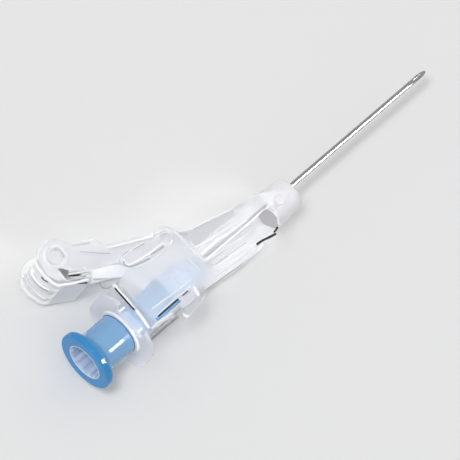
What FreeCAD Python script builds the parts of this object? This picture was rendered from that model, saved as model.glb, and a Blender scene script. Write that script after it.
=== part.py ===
"""Shielded hypodermic needle, in millimetres.

The needle runs along +X, with the origin in the middle of the hub's rear mouth.
+Y points to the folded elbow of the shield and +Z along the hinge axes, so the
object lies on the flat lower wall of its collar, as it does on a table.
"""
import FreeCAD
import Part
import Sketcher
import os

SHEET = "Dims"

# Name, value and meaning of every size that can be set by itself.
SIZES = [
    ("rim_radius", 3.84, "flared rear rim of the hub"),
    ("rim_width", 0.9, "length of the rim's cylindrical edge"),
    ("flare_length", 0.9, "length of the flare between rim and body"),
    ("flare_round", 0.9, "hollow round where flare meets body"),
    ("rim_round", 0.25, "rounding of the rim's edges"),
    ("body_radius", 2.62, "outer radius of the hub's body"),
    ("body_length", 5.7, "rear face to the shoulder that stops the collar"),
    ("seat_radius", 2.4, "hub radius inside the collar's bore"),
    ("nose_radius", 2.05, "hub radius in front of the seat"),
    ("nose_length", 10.6, "length of the nose in front of the seat"),
    ("nose_tip_length", 2.2, "tapered end of the nose"),
    ("nose_tip_radius", 1.45, "radius of the nose's front face"),
    ("socket_radius", 2.15, "mouth of the tapered socket"),
    ("socket_taper", 0.03, "radius lost per millimetre, a 6 % taper"),
    ("socket_depth", 7.5, "depth of the tapered socket"),
    ("mouth_chamfer", 0.25, "lead-in of the socket"),
    ("well_radius", 0.85, "glue well in the nose's front face"),
    ("well_depth", 1.6, "depth of the glue well"),
    ("needle_radius", 0.32, "outer radius of the tube"),
    ("needle_bore", 0.17, "radius of the tube's bore"),
    ("needle_exposed", 38.1, "nose's front face to the point"),
    ("needle_engaged", 9.0, "length of tube inside the hub"),
    ("needle_fit", 0.03, "clearance of the tube in the hub and glue"),
    ("bevel_angle", 13, "slope of the point's ground face"),
    ("ring_radius", 3.0, "ring between the hub's shoulder and the flange"),
    ("ring_thick", 0.3, "thickness of that ring"),
    ("flange_half", 4.65, "half the width of the collar's rear flange"),
    ("flange_round", 3.2, "corner radius of the flange"),
    ("flange_thick", 0.5, "thickness of the flange"),
    ("neck_length", 0.65, "flange to the collar's box"),
    ("neck_half_width", 1.85, "half width of the neck"),
    ("neck_half_height", 3.0, "half height of the neck"),
    ("collar_length", 10.55, "length of the collar's box"),
    ("collar_half_height", 4.75, "half height of the box along the hinge axis"),
    ("collar_top", 4.2, "box edge on the elbow side"),
    ("collar_low", 2.85, "box side wall, measured from the needle"),
    ("collar_wall", 0.5, "wall of the box"),
    ("collar_rear_wall", 1.0, "wall that holds the bore"),
    ("collar_fit", 0.04, "clearance of the collar on the hub"),
    ("hinge_setback", 1.7, "collar hinge behind the box front"),
    ("hinge_rise", 0.4, "collar hinge above the box edge"),
    ("hinge_ear", 1.45, "radius of the ear around the hinge"),
    ("tongue_reach", 5.5, "collar hinge back to the latch tongue's rounded end"),
    ("tongue_rise", 1.1, "tongue's end above the hinge"),
    ("tongue_width", 1.4, "width of the latch tongue"),
    ("tongue_slit", 0.25, "slit between the tongue and the box"),
    ("slit_length", 4.1, "length of that slit"),
    ("panel_length", 5.4, "sunken panel in the box's flat faces"),
    ("panel_width", 1.4, "width of that panel"),
    ("panel_depth", 0.15, "depth of that panel"),
    ("slot_length", 4.0, "slot through the box's flat faces"),
    ("slot_width", 0.45, "width of the slot"),
    ("slot_drop", 1.7, "needle to the slot's near edge"),
    ("notch_length", 1.3, "narrow slot in front of the wide one"),
    ("wing_start", 4.85, "box rear to the wing on the side wall"),
    ("wing_drop", 1.15, "depth of the wing below the side wall"),
    ("wing_high", 3.2, "top of the wing above the needle"),
    ("wing_thick", 1.8, "thickness of the wing along the hinge axis"),
    ("hinge_pin", 0.8, "radius of the rear arm's hinge stubs"),
    ("pivot_fit", 0.05, "running clearance of every stub in its hole"),
    ("slide_gap", 0.15, "gap between neighbouring side plates"),
    ("plate_thick", 0.7, "side plates of both arms"),
    ("rear_link", 13.3, "collar hinge to elbow"),
    ("fold_rise", 30, "slope of the folded rear arm"),
    ("rear_hinge_eye", 1.15, "rounded end of the rear arm at the collar"),
    ("rear_elbow_eye", 2.2, "rounded end of the rear arm at the elbow"),
    ("rear_shoulder", 7.2, "hinge to the step in the rear arm's edge"),
    ("rear_shoulder_step", 0.9, "depth of that step"),
    ("rear_depth", 3.45, "rear arm's width on the hub side of its axis"),
    ("pad_reach", 2.5, "thumb pad behind the elbow axis"),
    ("pad_wall", 0.45, "thumb pad and the web beside it"),
    ("pad_web_length", 3.7, "web that runs forward from the thumb pad"),
    ("pad_groove", 0.3, "depth of the grooves between the pad's grip ribs"),
    ("pad_rib_thick", 0.5, "thickness of one grip rib"),
    ("pad_rib_place", 1.3, "middle of a grip rib above or below the needle"),
    ("window_length", 2.8, "window in the rear arm beside the thumb pad"),
    ("window_width", 0.5, "width of that window"),
    ("elbow_pin", 0.85, "radius of the front arm's elbow stubs"),
    ("elbow_ring", 0.3, "raised ring around the elbow hole"),
    ("elbow_ring_wall", 0.5, "width of that ring"),
    ("front_elbow_eye", 1.45, "rounded end of the front arm at the elbow"),
    ("front_web", 0.6, "web that joins the front arm's plates"),
    ("fore_overlap", 1.75, "front arm's deep part inside the collar's front"),
    ("fore_low_rear", 2.3, "deep part's lower edge at the collar"),
    ("fore_low_front", 3.25, "deep part's lower edge at its front"),
    ("fore_top_rear", 4.0, "deep part's upper edge at the collar"),
    ("fore_top_front", 2.15, "deep part's upper edge at its front"),
    ("fore_low_back", 3.4, "sleeve pivot back to the end of the low edge"),
    ("fore_top_back", 5.2, "sleeve pivot back to the end of the sloping edge"),
    ("arm_inner_low", 0.35, "gap between the arm and the collar's side wall"),
    ("fore_rib_length", 7.0, "ribs on the front arm's side plates"),
    ("fore_rib_pitch", 0.85, "spacing of those ribs"),
    ("fore_rib_width", 0.3, "width of one rib"),
    ("fore_rib_height", 0.25, "height of one rib"),
    ("fore_panel_depth", 0.35, "sunken panel beside the arm's upper edge"),
    ("sleeve_pin_ahead", 11.9, "nose's front face to the sleeve pivot"),
    ("sleeve_drop", 0.5, "sleeve axis below the needle"),
    ("sleeve_pin", 0.6, "radius of the sleeve's side stubs"),
    ("fork_eye", 1.35, "rounded fork end around the sleeve stub"),
    ("fork_flare", 0.72, "sideways flare of the fork mouth per millimetre"),
    ("fork_depth", 2.6, "depth of the fork mouth"),
    ("sleeve_radius", 2.15, "outer radius of the sleeve"),
    ("sleeve_band", 0.12, "height of the band at the sleeve's rear"),
    ("sleeve_band_length", 1.6, "length of that band"),
    ("sleeve_behind", 1.0, "sleeve behind its pivot"),
    ("sleeve_length", 4.0, "length of the sleeve"),
    ("sleeve_wall", 0.5, "wall of the sleeve"),
    ("sleeve_hole", 0.6, "radius of the sleeve's front hole"),
    ("sleeve_round", 0.45, "rounding of the sleeve's front edge"),
    ("lock_thick", 0.2, "thickness of the steel lock plate"),
    ("lock_width", 1.9, "width of the lock plate"),
    ("lock_hole", 0.42, "radius of the plate's hole"),
    ("lock_fit", 0.1, "gap between the lock plate and the sleeve"),
]

# Places that follow from the sizes above.
DERIVED = [
    ("flange_rear", "body_length + ring_thick"),
    ("box_rear", "flange_rear + flange_thick + neck_length"),
    ("seat_front", "box_rear + collar_rear_wall"),
    ("nose_front", "seat_front + nose_length"),
    ("tube_tip", "nose_front + needle_exposed"),
    ("tube_rear", "nose_front - needle_engaged"),
    ("box_front", "box_rear + collar_length"),
    ("hinge_x", "box_front - hinge_setback"),
    ("hinge_y", "collar_top + hinge_rise"),
    ("elbow_x", "hinge_x - rear_link * cos(fold_rise)"),
    ("elbow_y", "hinge_y + rear_link * sin(fold_rise)"),
    ("slit_end", "hinge_x - tongue_reach + slit_length"),
    ("tongue_low_at_slit_end",
     "hinge_y - 0.5 * tongue_width + tongue_rise * (1 - slit_length / tongue_reach)"),
    ("pin_x", "nose_front + sleeve_pin_ahead"),
    ("rear_outer", "collar_half_height - collar_wall - slide_gap"),
    ("rear_inner", "rear_outer - plate_thick"),
    ("pad_middle_groove", "2 * pad_rib_place - pad_rib_thick"),
    ("pad_side_groove", "rear_inner - pad_rib_place - 0.5 * pad_rib_thick"),
    ("pad_side_middle", "rear_inner - 0.5 * pad_side_groove"),
    ("front_outer", "rear_inner - slide_gap"),
    ("front_inner", "front_outer - plate_thick"),
    ("fore_rear", "box_front - fore_overlap"),
    ("inner_low", "collar_low - collar_wall - arm_inner_low"),
    ("sleeve_rear", "pin_x - sleeve_behind"),
    ("sleeve_front", "sleeve_rear + sleeve_length"),
]


def named(formula):
    """Write a formula of size names so that it reads the sheet."""
    words = []
    word = ""
    for sign in formula + " ":
        if sign.isalnum() or sign == "_":
            word += sign
            continue
        if word and word[0].isalpha() and sign != "(":
            word = SHEET + "." + word
        words.append(word + sign)
        word = ""
    return "".join(words).strip()


def fill_sheet(doc):
    """Put every size and every place that follows from it in the sheet."""
    sheet = doc.addObject("Spreadsheet::Sheet", SHEET)
    row = 0
    for alias, value, meaning in SIZES:
        row += 1
        sheet.set("A%d" % row, alias)
        sheet.set("B%d" % row, str(value))
        sheet.set("C%d" % row, meaning)
        sheet.setAlias("B%d" % row, alias)
    for alias, formula in DERIVED:
        row += 1
        sheet.set("A%d" % row, alias)
        sheet.set("B%d" % row, "=" + formula)
        sheet.setAlias("B%d" % row, alias)
    doc.recompute()
    return sheet


def value_of(thing, formula):
    """Number that a formula of size names gives now."""
    return float(thing.evalExpression(named(formula)))


def new_body(doc, label):
    body = doc.addObject("PartDesign::Body", label)
    body.Label = label
    return body


def new_sketch(body, plane, name, lift="0"):
    """Sketch on one of the body's own origin planes, lifted along its normal."""
    sketch = body.newObject("Sketcher::SketchObject", name)
    for feature in body.Origin.OriginFeatures:
        if feature.Role == plane:
            sketch.AttachmentSupport = [(feature, "")]
    sketch.MapMode = "FlatFace"
    sketch.setExpression("AttachmentOffset.Base.z", named(lift))
    return sketch


def fix(sketch, kind, place, point, formula):
    """Hold one point at a distance from the sketch's origin."""
    value = value_of(sketch, formula)
    constraint = Sketcher.Constraint(kind, -1, 1, place, point, value)
    index = sketch.addConstraint(constraint)
    sketch.setExpression("Constraints[%d]" % index, named(formula))


def add_loop(sketch, corners):
    """Closed loop of straight edges; each corner is a pair of formulas."""
    first = sketch.GeometryCount
    points = []
    for x, y in corners:
        points.append(FreeCAD.Vector(value_of(sketch, x), value_of(sketch, y), 0))
    count = len(corners)
    for i in range(count):
        edge = Part.LineSegment(points[i], points[(i + 1) % count])
        sketch.addGeometry(edge, False)
    for i in range(count):
        follower = first + (i + 1) % count
        sketch.addConstraint(Sketcher.Constraint("Coincident", first + i, 2, follower, 1))
    for i in range(count):
        fix(sketch, "DistanceX", first + i, 1, corners[i][0])
        fix(sketch, "DistanceY", first + i, 1, corners[i][1])


def add_circle(sketch, x, y, radius):
    middle = FreeCAD.Vector(value_of(sketch, x), value_of(sketch, y), 0)
    circle = Part.Circle(middle, FreeCAD.Vector(0, 0, 1), value_of(sketch, radius))
    place = sketch.addGeometry(circle, False)
    fix(sketch, "DistanceX", place, 3, x)
    fix(sketch, "DistanceY", place, 3, y)
    index = sketch.addConstraint(Sketcher.Constraint("Radius", place, value_of(sketch, radius)))
    sketch.setExpression("Constraints[%d]" % index, named(radius))


def extrude(body, kind, sketch, length, both_ways=True, turned=False):
    """Pad or pocket a sketch by a formula's length."""
    feature = body.newObject("PartDesign::" + kind, kind + "_" + sketch.Name)
    feature.Profile = sketch
    feature.SideType = "Symmetric" if both_ways else "One side"
    feature.Reversed = turned
    feature.setExpression("Length", named(length))
    return feature


def revolve(body, kind, sketch):
    """Turn a sketch a full circle about its own horizontal axis."""
    feature = body.newObject("PartDesign::" + kind, kind + "_" + sketch.Name)
    feature.Profile = sketch
    feature.ReferenceAxis = (sketch, ["H_Axis"])
    feature.Angle = 360
    return feature


def soften(body, base, name, wanted, radius):
    """Fillet the edges of a feature that the test picks."""
    body.Document.recompute()
    picked = []
    for number, edge in enumerate(base.Shape.Edges, 1):
        if wanted(edge):
            picked.append("Edge%d" % number)
    fillet = body.newObject("PartDesign::Fillet", name)
    fillet.Base = (base, picked)
    fillet.setExpression("Radius", named(radius))
    return fillet


def make_hub(doc):
    """Flared hub: a turned outside with a tapered socket and a glue well."""
    body = new_body(doc, "luer_hub")
    outside = new_sketch(body, "XY_Plane", "hub_outside")
    add_loop(outside, [
        ("0", "0"),
        ("0", "rim_radius"),
        ("rim_width", "rim_radius"),
        ("rim_width + flare_length", "body_radius"),
        ("body_length", "body_radius"),
        ("body_length", "seat_radius"),
        ("seat_front", "seat_radius"),
        ("seat_front", "nose_radius"),
        ("nose_front - nose_tip_length", "nose_radius"),
        ("nose_front", "nose_tip_radius"),
        ("nose_front", "0"),
    ])
    turned = revolve(body, "Revolution", outside)
    rim = value_of(outside, "rim_radius")
    throat = value_of(outside, "rim_width + flare_length")

    def flare_edge(edge):
        box = edge.BoundBox
        return box.XLength < 0.001 and abs(box.XMax - throat) < 0.001

    def rim_edge(edge):
        box = edge.BoundBox
        return box.XLength < 0.001 and abs(box.YMax - rim) < 0.001

    hollow = soften(body, turned, "hub_flare", flare_edge, "flare_round")
    rounded = soften(body, hollow, "hub_rim", rim_edge, "rim_round")
    socket = new_sketch(body, "XY_Plane", "hub_socket")
    add_loop(socket, [
        ("0", "0"),
        ("0", "socket_radius + mouth_chamfer"),
        ("mouth_chamfer", "socket_radius"),
        ("socket_depth", "socket_radius - socket_taper * socket_depth"),
        ("socket_depth", "0"),
    ])
    revolve(body, "Groove", socket)
    well = new_sketch(body, "XY_Plane", "hub_well")
    add_loop(well, [
        ("socket_depth", "0"),
        ("socket_depth", "needle_radius + needle_fit"),
        ("nose_front - well_depth", "needle_radius + needle_fit"),
        ("nose_front", "well_radius"),
        ("nose_front", "0"),
    ])
    body.Tip = revolve(body, "Groove", well)
    return body


def make_needle(doc):
    """Steel tube with a ground point that faces +Z."""
    outer = doc.addObject("Part::Cylinder", "tube_outside")
    outer.setExpression("Radius", named("needle_radius"))
    outer.setExpression("Height", named("tube_tip - tube_rear"))
    inner = doc.addObject("Part::Cylinder", "tube_bore")
    inner.setExpression("Radius", named("needle_bore"))
    inner.setExpression("Height", named("tube_tip - tube_rear"))
    tube = doc.addObject("Part::Cut", "tube")
    tube.Base = outer
    tube.Tool = inner
    grind = doc.addObject("Part::Box", "bevel_cut")
    slope = "6 * needle_radius / sin(bevel_angle)"
    grind.setExpression("Length", named(slope))
    grind.setExpression("Width", named("4 * needle_radius"))
    grind.setExpression("Height", named("3 * needle_radius"))
    lying = FreeCAD.Vector(0, 1, 0)
    for cylinder in (outer, inner):
        cylinder.Placement.Rotation = FreeCAD.Rotation(lying, 90)
        cylinder.setExpression("Placement.Base.x", named("tube_rear"))
    grind.Placement.Rotation = FreeCAD.Rotation(lying, 1)
    grind.setExpression("Placement.Rotation.Angle", named("bevel_angle"))
    grind.setExpression("Placement.Base.x", named("tube_tip - 6 * needle_radius / tan(bevel_angle)"))
    grind.setExpression("Placement.Base.y", named("-2 * needle_radius"))
    grind.setExpression("Placement.Base.z", named("5 * needle_radius"))
    needle = doc.addObject("Part::Cut", "cannula")
    needle.Base = tube
    needle.Tool = grind
    return needle


def make_bond(doc):
    """Ring of glue that fills the well around the tube."""
    body = new_body(doc, "cannula_bond")
    ring = new_sketch(body, "XY_Plane", "bond_ring")
    add_loop(ring, [
        ("nose_front - well_depth + 0.15 * well_depth", "needle_radius + needle_fit / 2"),
        ("nose_front - well_depth + 0.15 * well_depth", "needle_radius + 1.4 * needle_fit"),
        ("nose_front - needle_fit", "well_radius - needle_fit"),
        ("nose_front + needle_radius", "needle_radius + needle_fit / 2"),
    ])
    body.Tip = revolve(body, "Revolution", ring)
    return body


def make_collar(doc):
    """Channel around the hub with a rear flange, hinge ears and a latch tongue."""
    body = new_body(doc, "collar")
    flange = new_sketch(body, "YZ_Plane", "flange", "flange_rear")
    add_loop(flange, [
        ("-flange_half", "-flange_half"),
        ("flange_half", "-flange_half"),
        ("flange_half", "flange_half"),
        ("-flange_half", "flange_half"),
    ])
    plate = extrude(body, "Pad", flange, "flange_thick", False)

    def along_x(edge):
        return edge.BoundBox.XLength > 0.9 * value_of(flange, "flange_thick")

    soften(body, plate, "flange_corners", along_x, "flange_round")
    ring = new_sketch(body, "YZ_Plane", "ring", "body_length")
    add_circle(ring, "0", "0", "ring_radius")
    extrude(body, "Pad", ring, "ring_thick", False)
    neck = new_sketch(body, "YZ_Plane", "neck", "flange_rear + flange_thick")
    add_loop(neck, [
        ("-neck_half_width", "-neck_half_height"),
        ("neck_half_width", "-neck_half_height"),
        ("neck_half_width", "neck_half_height"),
        ("-neck_half_width", "neck_half_height"),
    ])
    extrude(body, "Pad", neck, "neck_length", False)
    box = new_sketch(body, "XY_Plane", "box")
    add_loop(box, [
        ("box_rear", "-collar_low"),
        ("box_front", "-collar_low"),
        ("box_front", "0.3 * collar_top"),
        ("hinge_x + hinge_ear", "hinge_y"),
        ("hinge_x", "hinge_y"),
        ("slit_end", "tongue_low_at_slit_end + 0.5 * tongue_slit"),
        ("slit_end", "tongue_low_at_slit_end - tongue_slit"),
        ("hinge_x - tongue_reach", "hinge_y + tongue_rise - 0.5 * tongue_width - tongue_slit"),
        ("box_rear", "collar_top"),
    ])
    extrude(body, "Pad", box, "2 * collar_half_height")
    tongue = new_sketch(body, "XY_Plane", "latch_tongue")
    add_loop(tongue, [
        ("hinge_x", "hinge_y - 0.5 * tongue_width"),
        ("hinge_x", "hinge_y + 0.5 * tongue_width"),
        ("hinge_x - tongue_reach", "hinge_y + tongue_rise + 0.5 * tongue_width"),
        ("hinge_x - tongue_reach", "hinge_y + tongue_rise - 0.5 * tongue_width"),
    ])
    extrude(body, "Pad", tongue, "2 * collar_half_height")
    rounds = new_sketch(body, "XY_Plane", "ear_and_tongue_end")
    add_circle(rounds, "hinge_x", "hinge_y", "hinge_ear")
    add_circle(rounds, "hinge_x - tongue_reach", "hinge_y + tongue_rise", "0.49 * tongue_width")
    extrude(body, "Pad", rounds, "2 * collar_half_height")
    wing = new_sketch(body, "XY_Plane", "wing", "wing_high")
    add_loop(wing, [
        ("box_rear + wing_start", "0.5 * collar_wall - collar_low"),
        ("box_rear + wing_start", "-collar_low - wing_drop"),
        ("fore_rear - slide_gap", "-collar_low - 0.5 * wing_drop"),
        ("fore_rear - slide_gap", "0.5 * collar_wall - collar_low"),
    ])
    extrude(body, "Pad", wing, "wing_thick", False, True)
    channel = new_sketch(body, "XY_Plane", "channel")
    add_loop(channel, [
        ("seat_front", "collar_wall - collar_low"),
        ("fore_rear - slide_gap", "collar_wall - collar_low"),
        ("fore_rear - slide_gap", "-2 * collar_low"),
        ("box_front + collar_wall", "-2 * collar_low"),
        ("box_front + collar_wall", "hinge_y + 2 * hinge_ear"),
        ("seat_front", "hinge_y + 2 * hinge_ear"),
    ])
    extrude(body, "Pocket", channel, "2 * collar_half_height - 2 * collar_wall")
    slots = new_sketch(body, "XY_Plane", "slots")
    add_loop(slots, [
        ("seat_front + 0.5 * slot_width", "-slot_drop - slot_width"),
        ("seat_front + 0.5 * slot_width + slot_length", "-slot_drop - slot_width"),
        ("seat_front + 0.5 * slot_width + slot_length", "-slot_drop"),
        ("seat_front + 0.5 * slot_width", "-slot_drop"),
    ])
    add_loop(slots, [
        ("seat_front + 1.3 * slot_width + slot_length", "-slot_drop - 0.5 * slot_width"),
        ("seat_front + 1.3 * slot_width + slot_length + notch_length", "-slot_drop - 0.5 * slot_width"),
        ("seat_front + 1.3 * slot_width + slot_length + notch_length", "-slot_drop"),
        ("seat_front + 1.3 * slot_width + slot_length", "-slot_drop"),
    ])
    extrude(body, "Pocket", slots, "3 * collar_half_height")
    for side, plane_lift, turned in (("upper", "collar_half_height", False),
                                     ("lower", "-collar_half_height", True)):
        panel = new_sketch(body, "XY_Plane", side + "_panel", plane_lift)
        add_loop(panel, [
            ("seat_front", "-0.45 * panel_width"),
            ("seat_front + panel_length", "-0.45 * panel_width"),
            ("seat_front + panel_length", "0.55 * panel_width"),
            ("seat_front", "0.55 * panel_width"),
        ])
        extrude(body, "Pocket", panel, "panel_depth", False, turned)
    bore = new_sketch(body, "YZ_Plane", "bore", "body_length")
    add_circle(bore, "0", "0", "seat_radius + collar_fit")
    extrude(body, "Pocket", bore, "collar_length", False, True)
    holes = new_sketch(body, "XY_Plane", "hinge_holes")
    add_circle(holes, "hinge_x", "hinge_y", "hinge_pin + pivot_fit")
    body.Tip = extrude(body, "Pocket", holes, "3 * collar_half_height")
    return body


def pad_line(inset):
    """Thumb pad's curve in the rear arm's own axes, moved inwards by an inset."""
    return [
        ("rear_link + pad_reach - (%s)" % inset, "0"),
        ("rear_link + 0.95 * pad_reach - 0.97 * (%s)" % inset, "0.35 * rear_depth - 0.2 * (%s)" % inset),
        ("rear_link + 0.72 * pad_reach - 0.8 * (%s)" % inset, "0.67 * rear_depth - 0.6 * (%s)" % inset),
        ("rear_link + 0.3 * pad_reach - 0.5 * (%s)" % inset, "0.93 * rear_depth - 0.85 * (%s)" % inset),
        ("rear_link + 0.1 * pad_reach - 0.2 * (%s)" % inset, "rear_depth - (%s)" % inset),
    ]


def make_rear_arm(doc):
    """Rear arm: two plates joined by the thumb pad; its X axis runs to the elbow."""
    body = new_body(doc, "rear_arm")
    outline = new_sketch(body, "XY_Plane", "rear_outline")
    add_loop(outline, [
        ("0", "-rear_hinge_eye"),
        ("rear_shoulder", "-0.4 * rear_hinge_eye"),
        ("rear_shoulder + rear_shoulder_step", "-0.4 * rear_hinge_eye - rear_shoulder_step"),
        ("rear_link - rear_elbow_eye", "-0.4 * rear_hinge_eye - rear_shoulder_step"),
        ("rear_link - 0.7 * rear_elbow_eye", "-0.7 * rear_elbow_eye"),
        ("rear_link", "0"),
    ] + pad_line("0") + [
        ("rear_link - pad_web_length", "rear_depth"),
        ("rear_link - 1.25 * pad_web_length", "0.6 * rear_depth"),
        ("0", "rear_hinge_eye"),
    ])
    extrude(body, "Pad", outline, "2 * rear_outer")
    eyes = new_sketch(body, "XY_Plane", "rear_eyes")
    add_circle(eyes, "0", "0", "rear_hinge_eye")
    add_circle(eyes, "rear_link", "0", "rear_elbow_eye")
    extrude(body, "Pad", eyes, "2 * rear_outer")
    outside = [
        ("rear_link - pad_web_length", "2 * rear_depth"),
        ("rear_link + 2 * pad_reach", "2 * rear_depth"),
        ("rear_link + 2 * pad_reach", "0"),
    ]
    for side, plane_lift, length in (("upper", "pad_side_middle", "pad_side_groove"),
                                     ("middle", "0", "pad_middle_groove"),
                                     ("lower", "-pad_side_middle", "pad_side_groove")):
        groove = new_sketch(body, "XY_Plane", side + "_pad_groove", plane_lift)
        add_loop(groove, pad_line("pad_groove") + [
            ("rear_link - 0.1 * pad_reach", "rear_depth - pad_groove"),
            ("rear_link - 0.1 * pad_reach", "2 * rear_depth"),
        ] + outside[1:])
        extrude(body, "Pocket", groove, length)
    space = new_sketch(body, "XY_Plane", "rear_space")
    add_loop(space, pad_line("pad_groove + pad_wall") + [
        ("rear_link - 0.1 * pad_reach", "rear_depth - pad_groove - pad_wall"),
        ("rear_link - 0.5 * pad_reach", "rear_depth - pad_wall"),
        ("rear_link - pad_web_length", "rear_depth - pad_wall"),
        ("rear_link - pad_web_length", "2 * rear_depth"),
        ("-2 * rear_hinge_eye", "2 * rear_depth"),
        ("-2 * rear_hinge_eye", "-2 * rear_depth"),
        ("rear_link + 2 * pad_reach", "-2 * rear_depth"),
        ("rear_link + 2 * pad_reach", "0"),
    ])
    extrude(body, "Pocket", space, "2 * rear_inner")
    window = new_sketch(body, "XY_Plane", "pad_windows")
    add_loop(window, [
        ("rear_link - 1.35 * window_length", "rear_depth - pad_wall - 0.3 * window_width"),
        ("rear_link - 0.35 * window_length", "rear_depth - pad_wall - 0.3 * window_width"),
        ("rear_link - 0.35 * window_length", "rear_depth - pad_wall - 1.3 * window_width"),
        ("rear_link - 1.35 * window_length", "rear_depth - pad_wall - 1.3 * window_width"),
    ])
    add_loop(window, [
        ("rear_link - 1.1 * window_length", "rear_depth - pad_wall - 1.9 * window_width"),
        ("rear_link - 0.5 * window_length", "rear_depth - pad_wall - 1.9 * window_width"),
        ("rear_link - 0.5 * window_length", "rear_depth - pad_wall - 2.3 * window_width"),
        ("rear_link - 1.1 * window_length", "rear_depth - pad_wall - 2.3 * window_width"),
    ])
    extrude(body, "Pocket", window, "3 * rear_outer")
    for side, plane_lift, turned in (("upper", "rear_outer", False), ("lower", "-rear_outer", True)):
        ring = new_sketch(body, "XY_Plane", side + "_elbow_ring", plane_lift)
        add_circle(ring, "rear_link", "0", "elbow_pin + pivot_fit + elbow_ring_wall")
        extrude(body, "Pad", ring, "elbow_ring", False, turned)
    hole = new_sketch(body, "XY_Plane", "elbow_hole")
    add_circle(hole, "rear_link", "0", "elbow_pin + pivot_fit")
    extrude(body, "Pocket", hole, "3 * rear_outer")
    for side, plane_lift, turned in (("upper", "rear_outer", False), ("lower", "-rear_outer", True)):
        stub = new_sketch(body, "XY_Plane", side + "_hinge_stub", plane_lift)
        add_circle(stub, "0", "0", "hinge_pin")
        body.Tip = extrude(body, "Pad", stub, "slide_gap + collar_wall", False, turned)
    body.setExpression("Placement.Base.x", named("hinge_x"))
    body.setExpression("Placement.Base.y", named("hinge_y"))
    body.Placement.Rotation = FreeCAD.Rotation(FreeCAD.Vector(0, 0, 1), 1)
    body.setExpression("Placement.Rotation.Angle", named("180 - fold_rise"))
    return body


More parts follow.
